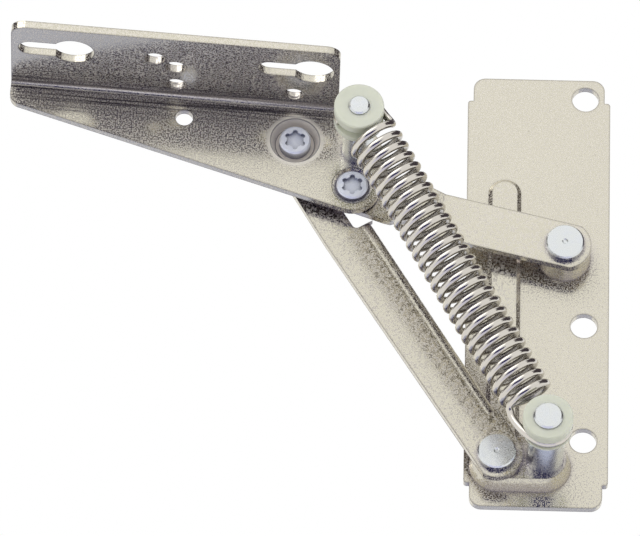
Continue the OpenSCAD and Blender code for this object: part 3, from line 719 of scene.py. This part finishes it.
def in_frame(p):
    x = LOWER_POST[0] + along.x * p.x - along.y * p.y
    z = LOWER_POST[1] + along.y * p.x + along.x * p.y
    return Vector((x, -p.z, z)) * MM


print("tilt of the coil:", round(math.degrees(tilt), 1), "degrees")

# %% The turns of the coil
COIL_STEP = 10
# Both ends of the coil run on by this many degrees before the wire leaves it.
COIL_LEAD = 60
coil_last = 360 * TURNS + COIL_LEAD


def on_coil(degrees):
    a = math.radians(degrees)
    return on_axis(COIL_START + (coil_end - COIL_START) * degrees / (360 * TURNS),
                   -coil_r * math.sin(a), coil_r * math.cos(a))


def way(degrees):
    return (on_coil(degrees + 1) - on_coil(degrees - 1)).normalized()


coil = [on_coil(degrees) for degrees in range(-COIL_LEAD, coil_last + 1, COIL_STEP)]
print("coil:", TURNS, "turns in", len(coil), "points")

# %% [markdown]
# ## Hooks
# Each hook is part of a circle round its spool's groove, and the wire runs from there to the coil
# without a kink. A straight piece would leave a corner at each end, so a cubic curve joins them. It
# leaves each end in the direction of the wire there, and its pull in millimetres says how far it
# follows that direction before it bends away. The upper curve ends at the hook's foot, just before
# the post.

# %% A curve and a hook
def bezier(a, b, c, d, steps):
    points = []
    for i in range(1, steps):
        t = i / steps
        u = 1 - t
        points.append(u * u * u * a + 3 * u * u * t * b + 3 * u * t * t * c + t * t * t * d)
    return points


def on_hook(degrees, x, height):
    a = math.radians(degrees)
    return Vector((x + hook_r * math.cos(a), hook_r * math.sin(a), height))


print("radius of the hooks:", round(hook_r, 2), "mm")

# %% The whole line of the wire
# The hooks start and stop at these angles round their posts, in degrees.
HOOK_FROM = 285
HOOK_TO = 120
UPPER_HALF = 90
HOOK_STEP = 5
LEAD_STEPS = 24
# How far each curve is pulled along at each of its ends, and how far the foot stands back.
LOWER_HOOK_PULL = 5
COIL_START_PULL = 3.5
COIL_END_PULL = 2.5
UPPER_HOOK_PULL = 4
FOOT_BACK = 0.6
lower = []
for degrees in range(HOOK_FROM, HOOK_TO - 1, -HOOK_STEP):
    lower.append(on_hook(degrees, 0, LOWER_SPOOL_H))
turn_off = Vector((math.sin(math.radians(HOOK_TO)), -math.cos(math.radians(HOOK_TO)), 0))
lower += bezier(lower[-1], lower[-1] + LOWER_HOOK_PULL * turn_off,
                coil[0] - COIL_START_PULL * way(-COIL_LEAD), coil[0], LEAD_STEPS)
foot = Vector((span.length - FOOT_BACK, -hook_r, UPPER_SPOOL_H))
upper = bezier(coil[-1], coil[-1] + COIL_END_PULL * way(coil_last),
               foot - Vector((UPPER_HOOK_PULL, 0, 0)), foot, LEAD_STEPS)
upper.append(foot)
for degrees in range(-UPPER_HALF, UPPER_HALF + 1, HOOK_STEP):
    upper.append(on_hook(degrees, span.length, UPPER_SPOOL_H))
line = [in_frame(p) for p in lower + coil + upper]
print("wire points:", len(line))

# %% [markdown]
# ## Sweeping the wire
# A curve object with a round bevel would give the same tube, but no map in metres along it, which
# the hairlines need. So the tube is made here. At each point of the line a ring of vertices stands
# square to the wire. Each ring takes over the direction of the one before it, made square to the
# new heading, so the wire doesn't twist, and the length travelled so far is kept for the map.

# %% Sweep the profile along the line
WIRE_SIDES = 16


def sweep(line, radius, sides):
    count = len(line)
    heads = []
    for i in range(count):
        heads.append((line[min(i + 1, count - 1)] - line[max(i - 1, 0)]).normalized())
    rise = heads[0].orthogonal().normalized()
    travelled = 0.0
    points, faces, lengths = [], [], []
    for i, (p, head) in enumerate(zip(line, heads)):
        rise = (rise - head * rise.dot(head)).normalized()
        other = head.cross(rise)
        travelled += (p - line[i - 1]).length if i else 0.0
        lengths.append(travelled)
        for k in range(sides):
            a = 2 * math.pi * k / sides
            points.append(p + radius * (rise * math.cos(a) + other * math.sin(a)))
    for i in range(count - 1):
        for k in range(sides):
            m = (k + 1) % sides
            faces.append((i * sides + k, i * sides + m, (i + 1) * sides + m, (i + 1) * sides + k))
    faces.append(tuple(range(sides - 1, -1, -1)))
    faces.append(tuple((count - 1) * sides + k for k in range(sides)))
    return points, faces, lengths


points, faces, lengths = sweep(line, WIRE_D / 2 * MM, WIRE_SIDES)
print("wire length:", round(lengths[-1] / MM), "mm")

# %% The wire's mesh and map
mesh = bpy.data.meshes.new("tension_spring_wire")
mesh.from_pydata([tuple(p) for p in points], [], faces)
mesh.update()
uv = mesh.uv_layers.new(name="along_the_wire")
for polygon in mesh.polygons:
    polygon.use_smooth = len(polygon.vertices) == 4
    for corner_index in polygon.loop_indices:
        vertex = mesh.loops[corner_index].vertex_index
        ring, k = divmod(vertex, WIRE_SIDES)
        # The last face of a ring ends at 1, not at 0, or the whole map would be squeezed into it.
        if polygon.index % WIRE_SIDES == WIRE_SIDES - 1 and k == 0:
            k = WIRE_SIDES
        uv.data[corner_index].uv = (lengths[ring], k / WIRE_SIDES)
mesh.materials.append(wire_steel)
print("wire faces:", len(mesh.polygons))

# %% [markdown]
# ## The spring in place
# When the flap closes, the upper hook moves away from the lower one along the spring's axis. Two
# rigid halves would tear apart in the middle. Here the swept wire takes the place of the coarse
# spring and the upper hook of the CAD model, which are hidden.

# %% Put the wire in place of the coarse spring
spring = bpy.data.objects.new("spring_wire", mesh)
bpy.context.scene.collection.objects.link(spring)
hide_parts("tension_spring", "upper_hook")
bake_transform(spring)
print("stretching part:", round(coil_end - COIL_START, 1), "mm")
